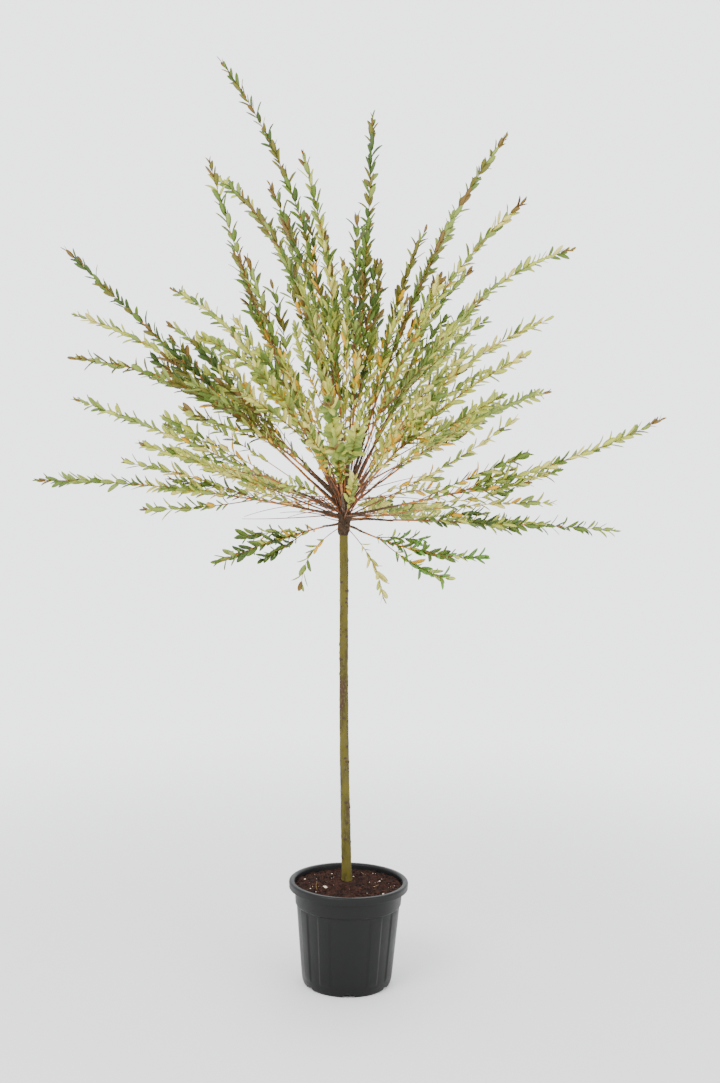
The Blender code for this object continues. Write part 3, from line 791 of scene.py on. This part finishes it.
@functools.lru_cache(maxsize=1)
def all_shoots():
    """Every leafy shoot: path, foot radius, bare share, tone, and sides of its tube.

    The leader and two side shoots of each mass follow the source's seeded draws, so
    they lie where the solids have them; the finer ones come from the same rule.
    """
    lines = [wand_line(wand, np.linspace(0, 1, GUIDE_POINTS)) for wand in WANDS]
    lines.append(np.array([TRUNK_FOOT[:], TRUNK_TOP[:]]))
    shoots = []
    for index, wand in enumerate(WANDS):
        rule = random.Random(SOURCE_SEED * 100 + index)
        for _ in range(LEADER_DRAWS):
            rule.random()
        scale = limb_scale(wand)
        reach = blend(TIP_REACH, float(smooth(wand.length, *LONG_WAND))) / wand.length
        leader = wand_line(wand, np.linspace(BOUGH_SHARE - LEADER_LAP, 1 + reach, LEADER_POINTS))
        shoots.append((leader, STEM_RADIUS * scale, LEADER_BARE, wand.tone, LEADER_SIDES))
        leafy = wand_line(wand, np.linspace(BOUGH_SHARE + GAP / wand.length,
                                            1 - TIP_LEAF_REACH / wand.length, SIDE_POINTS))
        whole = wand_line(wand, np.linspace(0, 1, SIDE_POINTS))
        first_roll = rule.uniform(0, TURN)
        kinds = SIDE_KINDS if wand.length > SHORT_WAND else SIDE_KINDS[:1]
        for kind, side in [(kind, side) for kind in kinds for side in range(kind.count)]:
            begin = rule.uniform(*kind.start)
            angle = rule.uniform(*kind.angle)
            share = rule.uniform(*kind.length)
            roll = first_roll + pi * (side + kind.turn) + rule.uniform(-kind.play, kind.play)
            shoot = spaced_shoot(whole if kind.tone else leafy, begin, angle, roll, share, index, lines)
            radius = STEM_RADIUS * kind.radius * scale
            shoots.append((shoot, radius, kind.bare, kind.tone or wand.tone, TWIG_SIDES))
            for _ in range(kind.draws):
                rule.random()
    rest = [(wand, SHORT_RADIUS * limb_scale(wand), SHORT_BARE) for wand in short_wands()]
    rest += [(wand, HANGING_RADIUS, HANGING_BARE) for wand in HANGING]
    for wand, radius, bare in rest:
        path = wand_line(wand, np.linspace(0, 1, SHORT_POINTS))
        shoots.append((path, radius, bare, wand.tone, TWIG_SIDES))
    return [shoot for shoot in shoots if shoot[0] is not None]


def short_wands():
    """Short wands round the head, steeper from higher on it."""
    rule = random.Random(SHORT_SEED)
    wands = []
    for order in range(SHORT_COUNT):
        share = (order + 0.5) / SHORT_COUNT
        rise = blend(SHORT_RISE, share ** SHORT_STEEP) + rule.uniform(-SHORT_PLAY, SHORT_PLAY)
        wands.append(Wand(GOLDEN_TURN * order, blend(SHORT_HEIGHT, share), rise,
                          rule.uniform(*SHORT_DROOP), rule.uniform(*SHORT_LENGTH)))
    return wands


def leaf_places(path, bare, rule, sizes):
    """Roots, axes, faces and lengths of the leaves on a shoot, in near-opposite pairs.

    An axis is cos(spread) * tangent + sin(spread) * outward, lifted a little; leaves
    are smaller near the shoot's foot and at its tip.
    """
    run = run_along(path)
    density = SPARSE_PAIRS if bare > SPARSE_BARE else 1
    pairs = max(int((1 - bare) * run[-1] / sizes.pair_pitch * density), LEAST_PAIRS)
    order = np.repeat(np.arange(pairs), 2)
    side = np.tile((0, 1), pairs)
    place = order + PAIR_OFFSET * side + rule.uniform(-PAIR_PLAY, PAIR_PLAY, 2 * pairs)
    share = np.clip(bare + (LAST_PAIR - bare) * place / (pairs - 0.5), 0, 1)
    root, tangent, across, up = (read_at(share * run[-1], run, rows) for rows in (path, *tube_axes(path)))
    roll = rule.uniform(0, pi) + order * PAIR_TURN + side * pi
    roll += rule.uniform(-LEAF_ROLL, LEAF_ROLL, 2 * pairs)
    outward = np.cos(roll)[:, None] * across + np.sin(roll)[:, None] * up
    tip = smooth(share, *LEAF_TIP)
    spread = rule.uniform(*LEAF_SPREAD, 2 * pairs) * (1 - TIP_CLOSE * tip)
    axis = unit(np.cos(spread)[:, None] * tangent + np.sin(spread)[:, None] * outward + LEAF_LIFT * UP)
    face = unit(np.cross(np.cross(axis, tangent + LEAF_TILT), axis))
    twist = rule.uniform(-LEAF_TWIST, LEAF_TWIST, 2 * pairs)
    face = unit(face + twist[:, None] * np.cross(axis, face))
    foot = (1 - FOOT_SHRINK) + FOOT_SHRINK * smooth(share, bare, bare + FOOT_LEAVES)
    size = rule.uniform(*LEAF_SIZES, 2 * pairs) * (1 - TIP_SHRINK * tip) * foot
    return root, axis, face, size * sizes.leaf_length, share, order


def deal_colours(share, order, tone, bare, rule):
    """A kind of leaf for each spray of pairs, with strays, gold near the foot and bronze tips."""
    names = np.array(list(TONES[tone]), dtype=object)
    weights = np.array(list(TONES[tone].values()), dtype=float)
    weights /= weights.sum()
    spray = order // SPRAY_PAIRS
    dealt = rule.choice(len(names), size=spray.max() + 1, p=weights)
    own = rule.choice(len(names), size=len(order), p=weights)
    kinds = np.where(rule.random(len(order)) < STRAY_LEAVES, names[own], names[dealt[spray]])
    chance = rule.random(len(order))
    kinds = np.where((share < bare + GOLD_REACH) & (chance < GOLD_CHANCE), "gold", kinds)
    if tone in BRONZED:
        kinds = np.where((share > BRONZE_FROM) & (chance < BRONZE_CHANCE), "bronze", kinds)
    return kinds


def leaf_surfaces(root, axis, face, length, rule, width):
    """Leaves as closed thin shells, folded along the midrib and bent back to the tip.

    Each station has four points: the left edge, the midrib's underside, the right edge
    and the midrib's top.  The edges stand above the midrib by the fold, and the whole
    bends by the square of the share along it.
    """
    count = len(root)
    half = (length * width / 2 * rule.uniform(*WIDTH_PLAY, count))[:, None] * np.array(LEAF_OUTLINE)
    bend = rule.uniform(*LEAF_BEND, count)[:, None] * length[:, None]
    fold = rule.uniform(*LEAF_FOLD, count)[:, None]

    def spine(share):
        """The midrib at shares of the length."""
        return (root[:, None] + axis[:, None] * (length[:, None] * share)[..., None]
                - face[:, None] * (bend * share ** 2)[..., None])

    middle = spine(np.array(LEAF_STATIONS))
    thick = face[:, None] * (length * LEAF_THICK)[:, None, None]
    edge = face[:, None] * (half * fold)[..., None]
    across = np.cross(axis, face)[:, None] * half[..., None]
    rings = (middle - across + edge, middle - thick, middle + across + edge, middle + thick * MIDRIB_TOP)
    poles = spine(np.array((0, 1)))
    points = np.concatenate((np.stack(rings, axis=2).reshape(count, -1, 3), poles), axis=1)
    shift = (np.arange(count) * points.shape[1])[:, None, None]
    quads, triangles = (faces + shift for faces in tube_faces(len(LEAF_STATIONS), len(rings)))
    return points.reshape(-1, 3), quads.reshape(-1, 4), triangles.reshape(-1, 3)


def rounded(corners, steps=5):
    """A profile with each inner corner (radius, height, rounding) rounded by a curve."""
    *corners, cuts = np.array(corners, dtype=float).T
    corners = np.stack(corners, axis=1)
    points = [corners[0]]
    share = np.linspace(0, 1, steps)[:, None]
    for before, here, after, cut in zip(corners, corners[1:], corners[2:], cuts[1:]):
        back, ahead = before - here, after - here
        far, long = np.linalg.norm(back), np.linalg.norm(ahead)
        cut = min(cut, LONGEST_CUT * far, LONGEST_CUT * long)
        start, end = here + back / far * cut, here + ahead / long * cut
        points.extend((1 - share) ** 2 * start + 2 * share * (1 - share) * here + share ** 2 * end)
    return np.array([*points, corners[-1]])


def filled(profile, pitch):
    """The same profile with its points at most a pitch apart."""
    run = run_along(profile)
    extra = np.arange(0, run[-1], pitch)
    return read_at(np.unique(np.round(np.hstack((run, extra)), 7)), run, profile)


def pot_surface():
    """The turned profile, with its ribs pushed out and its notches lifted from the foot."""
    profile = filled(rounded(POT_PROFILE), POT_PITCH)
    outer = (np.arange(len(profile)) < np.argmax(profile[:, 1]))[:, None]
    turn = np.linspace(0, TURN, POT_SIDES, endpoint=False) - RIB_TURN
    radii, heights = (np.repeat(column[:, None], POT_SIDES, axis=1) for column in profile.T)
    quarter = (turn + pi / 2) % (pi / 2)
    rib = sum(1 - smooth(np.abs(quarter - place), RIB_HALF_WIDTH - RIB_EDGE, RIB_HALF_WIDTH + RIB_EDGE)
              for place in RIB_PLACES)
    fade = smooth(heights, *RIB_FOOT) * (1 - smooth(heights, *RIB_TOP))
    radii += RIB_RISE * rib * fade * (radii > np.interp(heights, BODY_HEIGHTS, MIDWALL_RADII))
    sector = TURN / NOTCH_COUNT
    offset = np.abs(turn % sector - sector / 2) * NOTCH_RING
    notch = 1 - smooth(offset, NOTCH_WIDTH / 2 - NOTCH_EDGE, NOTCH_WIDTH / 2 + NOTCH_EDGE)
    for (roof, reach), side in zip(NOTCH_ROOFS, (outer, ~outer)):
        low = (heights < roof) & (radii > reach) & side
        heights = np.where(low, np.maximum(heights, roof * notch), heights)
    return turned(radii, heights, POT_SIDES)


def peat_top(points):
    """Height of the peat at points: a low mound with lumps, crumbs and grains."""
    radius = np.linalg.norm(points[..., :2], axis=-1)
    mound = 1 - smooth(radius, MOUND_TOP, PEAT_RADIUS)
    level = points * LEVEL
    lumps = ripples(level, PEAT_LUMPS)
    lumps += np.abs(ripple(level, *PEAT_GRAINS)) + ripple(level, *PEAT_DUST)
    relief = bpy.context.scene.willow_sizes.peat_relief
    lumps *= relief * (0.5 + 0.5 * smooth(radius, *PEAT_CALM))
    return blend(PEAT_HEIGHTS, mound) + lumps - PEAT_SINK


def peat_surface():
    """The peat's side up inside the pot, then rings of its top in to the middle."""
    wall = filled(np.array(PEAT_SIDE), PEAT_PITCH)
    top = PEAT_RADIUS * np.linspace(1, PEAT_HOLE, PEAT_RINGS)
    radii, heights = np.vstack((wall, np.stack((top, top * 0), axis=1))).T
    points, *faces = turned(radii, heights, PEAT_SIDES)
    start = len(wall) * PEAT_SIDES
    points[start:-2, 2] = peat_top(points[start:-2])
    points[-1, 2] = points[-2 - PEAT_SIDES:-2, 2].mean()
    return points, *faces


def icosahedra(middles, sizes, rule, flatness=1):
    """Little lumps: icosahedra whose corners are each moved in or out."""
    golden = (1 + 5 ** 0.5) / 2
    level = np.array([(x, y * golden, 0) for y in (1, -1) for x in (-1, 1)])
    corners = np.vstack([np.roll(level, shift, axis=1) for shift in range(3)])
    faces = np.array([(0, 11, 5), (0, 5, 1), (0, 1, 7), (0, 7, 10), (0, 10, 11), (1, 5, 9), (5, 11, 4),
                      (11, 10, 2), (10, 7, 6), (7, 1, 8), (3, 9, 4), (3, 4, 2), (3, 2, 6), (3, 6, 8),
                      (3, 8, 9), (4, 9, 5), (2, 4, 11), (6, 2, 10), (8, 6, 7), (9, 8, 1)])
    count = len(middles)
    shape = unit(corners) * rule.uniform(*LUMP_CORNERS, (count, len(corners), 1))
    turn = rule.uniform(0, TURN, count)[:, None]
    stretch = np.stack((rule.uniform(*LUMP_LONG, count), rule.uniform(*LUMP_WIDE, count),
                        np.full(count, flatness)), axis=1)
    x, y, z = np.moveaxis(shape * (stretch * sizes[:, None])[:, None], -1, 0)
    level = np.stack((x * np.cos(turn) - y * np.sin(turn), x * np.sin(turn) + y * np.cos(turn), z), axis=-1)
    triangles = faces + (np.arange(count) * len(corners))[:, None, None]
    return (level + middles[:, None]).reshape(-1, 3), np.zeros((0, 4), dtype=int), triangles.reshape(-1, 3)


def scattered(count, rule, inner, outer):
    """Seeded places on the peat's surface, even over its area."""
    radius = np.sqrt(rule.uniform(inner ** 2, outer ** 2, count))
    turn = rule.uniform(0, TURN, count)
    points = np.stack((radius * np.cos(turn), radius * np.sin(turn), np.zeros(count)), axis=1)
    points[:, 2] = peat_top(points)
    return points


def stalk(turn, reach, lean, length, rise):
    """A thin stalk on the peat, bowed by a sine of the share along it."""
    foot = heading(radians(turn)) * reach
    foot[2] = peat_top(foot) - STALK_SINK
    course = unit(rise * UP + heading(radians(lean)) * STALK_LEAN)
    bow = heading(radians(lean + 90)) * STALK_BOW
    share = np.linspace(0, 1, STALK_RINGS)[:, None]
    path = foot + course * share * length + bow * np.sin(pi * share)
    return tube(path, np.linspace(*STALK_RADII, STALK_RINGS), STALK_SIDES)


class WILLOW_OT_stage(bpy.types.Operator):
    """Lay the pale floor and set the lights and the camera"""

    bl_idname = "willow.stage"
    bl_label = "Stage"

    def execute(self, context):
        points, quads, fans = turned(np.array(FLOOR_RADII), np.array(FLOOR_HEIGHTS), FLOOR_SIDES)
        disc = np.minimum(fans[FLOOR_SIDES:], len(points) - 2)
        floor = put_mesh("floor", (points[:-1], quads, disc), floor_skin(), False)
        world = bpy.data.worlds.new("studio")
        context.scene.world = world
        world.use_nodes = True
        tree = world.node_tree
        seen = shade(tree, "LightPath").node.outputs["Is Camera Ray"]
        strength = shade(tree, "MapRange", Value=seen, To_Min=SKY_LIGHT, To_Max=SKY_SEEN)
        glow = tree.nodes["Background"]
        feed(tree, glow.inputs["Color"], SKY_COLOUR)
        feed(tree, glow.inputs["Strength"], strength)
        for name, place, size, power in LAMPS:
            light = bpy.data.lights.new(name, "AREA")
            light.size = size
            light.energy = power
            lamp = new_object(name, light)
            lamp.location = place
            lamp.rotation_euler = (LAMP_AIM - lamp.location).to_track_quat("-Z", "Y").to_euler()
        camera = new_object("camera", bpy.data.cameras.new("camera"))
        camera.data.lens = CAMERA_LENS
        camera.data.sensor_width = CAMERA_SENSOR
        pitch = Matrix.Rotation(CAMERA_PITCH, 4, "X")
        roll = Matrix.Rotation(CAMERA_ROLL, 4, "Z")
        camera.matrix_world = Matrix.Translation(CAMERA_PLACE) @ pitch @ roll
        context.scene.camera = camera
        return {"FINISHED"}


class WILLOW_OT_pot(bpy.types.Operator):
    """Turn the pot with its lip, collar, ribs and notches"""

    bl_idname = "willow.pot"
    bl_label = "Pot"

    def execute(self, context):
        plastic = pot_plastic(context.scene.willow_tints.pot)
        dress(put_mesh("pot_shell", pot_surface(), plastic), "pot_plastic", "pot")
        return {"FINISHED"}


class WILLOW_OT_peat(bpy.types.Operator):
    """Fill the pot with crumbly peat, grit, pebbles and dry stalks"""

    bl_idname = "willow.peat"
    bl_label = "Peat"

    def execute(self, context):
        colour = context.scene.willow_tints.peat
        dress(put_mesh("peat", peat_surface(), peat_skin("peat", colour)), "damp_peat", "soil")
        rule = np.random.default_rng(PEAT_SEED)
        for name, tint in CRUMB_TINTS:
            places = scattered(CRUMB_COUNT, rule, *CRUMB_RING)
            crumbs = icosahedra(places, rule.uniform(*CRUMB_SIZES, CRUMB_COUNT), rule)
            dress(put_mesh(name, crumbs, peat_skin(name, shaded(colour, tint)), False), "damp_peat")
        places = np.array([heading(radians(turn)) * reach for turn, reach, _ in PEBBLES])
        places[:, 2] = peat_top(places) + PEBBLE_LIFT
        places = np.vstack((places, scattered(GRIT_COUNT, rule, *GRIT_RING)))
        sizes = [length / LUMP_LENGTH for _, _, length in PEBBLES]
        sizes = np.hstack((sizes, rule.uniform(*GRIT_SIZES, GRIT_COUNT)))
        stone = bark("pebble", PEBBLE_TONES, Grain(120, EVEN, 0.7, 0.0003))
        dress(put_mesh("pebbles", icosahedra(places, sizes, rule, PEBBLE_FLAT), stone), "damp_peat")
        straw = bark("straw", STRAW_TONES, Grain(60, (1, 1, 0.3), 0.7, 0.0003))
        stalks = joined([stalk(*row) for row in STALKS])
        dress(put_mesh("dry_stalks", stalks, straw), "damp_peat")
        return {"FINISHED"}


class WILLOW_OT_stem(bpy.types.Operator):
    """Raise the stem, a tapered tube that sways by a sine, with ridges and a pitted bump at each scar"""

    bl_idname = "willow.stem"
    bl_label = "Stem"

    def execute(self, context):
        heights = np.linspace(TRUNK_FOOT.z - STEM_SINK, TRUNK_TOP.z + STEM_OVERLAP, STEM_RINGS)
        share = np.clip((heights - TRUNK_FOOT.z) / (TRUNK_TOP.z - TRUNK_FOOT.z), 0, 1)
        x = blend((TRUNK_FOOT.x, TRUNK_TOP.x), share)
        x -= TRUNK_SWAY * np.sin(pi * np.minimum(share * SWAY_PACE, 1))
        path = np.stack((x, np.full(STEM_RINGS, TRUNK_FOOT.y), heights), axis=1)
        radius = blend(TRUNK_RADII, share)
        radius += FLARE * np.exp(-np.maximum(heights - TRUNK_FOOT.z, 0) / FLARE_HEIGHT)
        radius *= 1 + ripple(path, *STEM_SWELL) * smooth(heights, *SWELL_START)
        plain = tube_points(path, radius, STEM_SIDES)[:-2]
        rise = context.scene.willow_sizes.bark_relief * ripples(plain * STEM_STRETCH, STEM_RIDGES)
        scar = np.zeros(len(plain))
        x, y, _ = (plain - np.repeat(path, STEM_SIDES, axis=0)).T
        turn = np.arctan2(y, x)
        rule = np.random.default_rng(SCAR_SEED)
        for height, angle, size in zip(np.sort(rule.uniform(*SCAR_HEIGHTS, SCAR_COUNT)),
                                       rule.uniform(-pi, pi, SCAR_COUNT),
                                       rule.uniform(*SCAR_SIZES, SCAR_COUNT)):
            around = ((turn - angle + pi) % TURN - pi) * TRUNK_RADII[1]
            reach = (around / (SCAR_REACH[0] * size)) ** 2
            reach += ((plain[:, 2] - height) / (SCAR_REACH[1] * size)) ** 2
            bump = np.exp(-reach)
            rise += SCAR_RISE * size * bump - SCAR_PIT * np.exp(-reach * PIT_FALL)
            scar = np.maximum(scar, smooth(bump, *SCAR_EDGE))
        radii = (np.repeat(radius, STEM_SIDES) + rise).reshape(STEM_RINGS, STEM_SIDES)
        skin = stem_bark(context.scene.willow_tints.stem)
        stem = put_mesh("stem", tube(path, radii, STEM_SIDES), skin)
        mark = stem.data.attributes.new("scar", "FLOAT", "POINT")
        mark.data.foreach_set("value", np.hstack((scar, (0, 0))).astype(np.float32))
        dress(stem, "stem_bark", "trunk")
        return {"FINISHED"}


class WILLOW_OT_head(bpy.types.Operator):
    """Shape the knuckled graft head: a tube of eased radii with a bell-shaped swell at each burl"""

    bl_idname = "willow.head"
    bl_label = "Graft head"

    def execute(self, context):
        share = np.linspace(0, 1, HEAD_RINGS)
        radius = np.interp(share, np.linspace(0, 1, len(HEAD_RADII)), HEAD_RADII)
        window = np.hanning(2 * HEAD_EASE + 1)
        radius = np.convolve(np.pad(radius, HEAD_EASE, "edge"), window / window.sum(), "valid")
        radius *= np.sqrt(np.clip((1 - share) / HEAD_DOME, 0, 1)) * DOME_FALL + (1 - DOME_FALL)
        heights = HEAD_BASE - HEAD_SINK + (HEAD_HEIGHT + HEAD_SINK) * share
        middle = np.array((TRUNK_TOP.x, TRUNK_TOP.y, 0))
        path = middle + heights[:, None] * UP
        plain = tube_points(path, radius, HEAD_SIDES)[:-2]
        rule = random.Random(SOURCE_SEED)
        rise = np.zeros(len(plain))
        for index in range(BURL_COUNT):
            turn = TURN * index / BURL_COUNT + rule.uniform(-BURL_PLAY, BURL_PLAY)
            height = HEAD_BASE + HEAD_HEIGHT * rule.uniform(*BURL_HEIGHTS)
            size = BURL_RADIUS * rule.uniform(*BURL_SIZES)
            burl = middle + heading(turn) * BURL_REACH + height * UP
            reach = np.linalg.norm((plain - burl) / BURL_SHAPE, axis=1) / size
            rise += BURL_RISE * np.exp(-reach ** 2 * BURL_FALL)
        tall = plain * HEAD_STRETCH
        rise += ripples(tall, HEAD_RIDGES)
        rise -= CRACK_DEPTH * smooth(np.abs(ripple(tall, *CRACKS)), CRACK_EDGE, 0)
        radii = np.repeat(radius, HEAD_SIDES) + rise * smooth(np.repeat(share, HEAD_SIDES), 0, HEAD_EDGE)
        old = bark("old_bark", toned(context.scene.willow_tints.head, OLD_TONES), OLD_BARK)
        head = put_mesh("head", tube(path, radii.reshape(HEAD_RINGS, HEAD_SIDES), HEAD_SIDES), old)
        dress(head, "old_bark", "graft_head")
        return {"FINISHED"}


class WILLOW_OT_boughs(bpy.types.Operator):
    """Grow the bare limbs from the head, thick at their feet and knotted by buds"""

    bl_idname = "willow.boughs"
    bl_label = "Boughs"

    def execute(self, context):
        skin = bark("young_bark", toned(context.scene.willow_tints.bough, YOUNG_TONES), YOUNG_BARK)
        shares = np.linspace(0, BOUGH_SHARE, BOUGH_RINGS)
        pitch, seed, sway = BOUGH_SWAY
        grain, grain_seed, ridge = BOUGH_RIDGES
        for index, wand in enumerate(WANDS):
            path = wand_line(wand, shares)
            run = shares * wand.length
            radius = np.linspace(BOUGH_RADIUS, STEM_RADIUS, BOUGH_RINGS) * limb_scale(wand)
            radius *= BOUGH_SLIM + FOOT_SWELL * np.exp(-run / FOOT_REACH)
            radius += BUD_RISE * np.exp(-((run % BUD_PITCH - BUD_PITCH / 2) / BUD_REACH) ** 2)
            path = path + np.stack([ripple(path, pitch, seed + index * 3 + axis, sway) for axis in range(3)],
                                   axis=1)
            plain = tube_points(path, radius, BOUGH_SIDES)[:-2]
            radii = np.repeat(radius, BOUGH_SIDES) + ripple(plain, grain, grain_seed + index, ridge)
            surface = tube(path, radii.reshape(BOUGH_RINGS, BOUGH_SIDES), BOUGH_SIDES)
            dress(put_mesh(f"limb_{index + 1:02d}", surface, skin), "young_bark", f"bough_{index + 1:02d}")
        return {"FINISHED"}


class WILLOW_OT_twigs(bpy.types.Operator):
    """Carry the limbs on as leaders, side shoots and thin bare twigs"""

    bl_idname = "willow.twigs"
    bl_label = "Twigs"

    def execute(self, context):
        red, ochre = [], []
        for order, (path, thick, _, _, sides) in enumerate(all_shoots()):
            radii = thick + (TIP_RADIUS - thick) * np.linspace(0, 1, len(path)) ** TWIG_TAPER
            (red if order % OCHRE_EVERY else ochre).append(tube(path, radii, sides))
        rule = random.Random(BARE_SEED)
        for order in range(BARE_COUNT):
            turn, *rest = (rule.uniform(*span) for span in BARE_RANGES)
            wand = Wand(360 * order / BARE_COUNT + turn, *rest)
            path = wand_line(wand, np.linspace(0, 1, GUIDE_POINTS))
            red.append(tube(path, np.linspace(*BARE_RADII, GUIDE_POINTS), TWIG_SIDES))
        for name, tubes, tint in (("twigs_red", red, RED_TWIG),
                                  ("twigs_ochre", ochre, context.scene.willow_tints.twig)):
            skin = bark(name, toned(tint, TWIG_TONES), TWIG_BARK)
            dress(put_mesh(name, joined(tubes), skin), "young_bark", *MASSES)
        return {"FINISHED"}


class WILLOW_OT_leaves(bpy.types.Operator):
    """Set the leaves on every shoot, one piece for each colour"""

    bl_idname = "willow.leaves"
    bl_label = "Leaves"

    def execute(self, context):
        sizes = context.scene.willow_sizes
        rule = np.random.default_rng(LEAF_SEED)
        rows = {kind: [] for kind in LEAF_COLOURS}
        for path, _, bare, tone, _ in all_shoots():
            root, axis, face, length, share, order = leaf_places(path, bare, rule, sizes)
            kinds = deal_colours(share, order, tone, bare, rule)
            for kind in rows:
                chosen = kinds == kind
                rows[kind].append((root[chosen], axis[chosen], face[chosen], length[chosen]))
        for kind, parts in rows.items():
            places = (np.concatenate(columns) for columns in zip(*parts))
            blades = leaf_surfaces(*places, rule, sizes.leaf_width)
            dress(put_mesh(f"leaves_{kind}", blades, blade_skin(kind)), "foliage", *MASSES)
        return {"FINISHED"}


class WILLOW_PT_panel(bpy.types.Panel):
    """The settings and the pieces of the willow, each piece with its button"""

    bl_idname = "WILLOW_PT_panel"
    bl_label = "Dappled willow"
    bl_space_type = "VIEW_3D"
    bl_region_type = "UI"
    bl_category = "Willow"

    def draw(self, context):
        """List the sizes, the colours and the operators."""
        for group in (context.scene.willow_sizes, context.scene.willow_tints):
            column = self.layout.column()
            for name in group.__annotations__:
                column.prop(group, name)
        for operator in OPERATORS:
            self.layout.operator(operator.bl_idname)


OPERATORS = (WILLOW_OT_stage, WILLOW_OT_pot, WILLOW_OT_peat, WILLOW_OT_stem, WILLOW_OT_head,
             WILLOW_OT_boughs, WILLOW_OT_twigs, WILLOW_OT_leaves)
CLASSES = (WillowSizes, WillowTints, *OPERATORS, WILLOW_PT_panel)


def register():
    """Register the classes and the scene's settings."""
    for cls in CLASSES:
        bpy.utils.register_class(cls)
    bpy.types.Scene.willow_sizes = PointerProperty(type=WillowSizes)
    bpy.types.Scene.willow_tints = PointerProperty(type=WillowTints)


def unregister():
    """Take the settings and the classes away again."""
    del bpy.types.Scene.willow_tints
    del bpy.types.Scene.willow_sizes
    for cls in reversed(CLASSES):
        bpy.utils.unregister_class(cls)


def main():
    """Build every piece."""
    register()
    bpy.ops.willow.stage()
    bpy.ops.willow.pot()
    bpy.ops.willow.peat()
    bpy.ops.willow.stem()
    bpy.ops.willow.head()
    bpy.ops.willow.boughs()
    bpy.ops.willow.twigs()
    bpy.ops.willow.leaves()


if __name__ == "__main__":
    main()
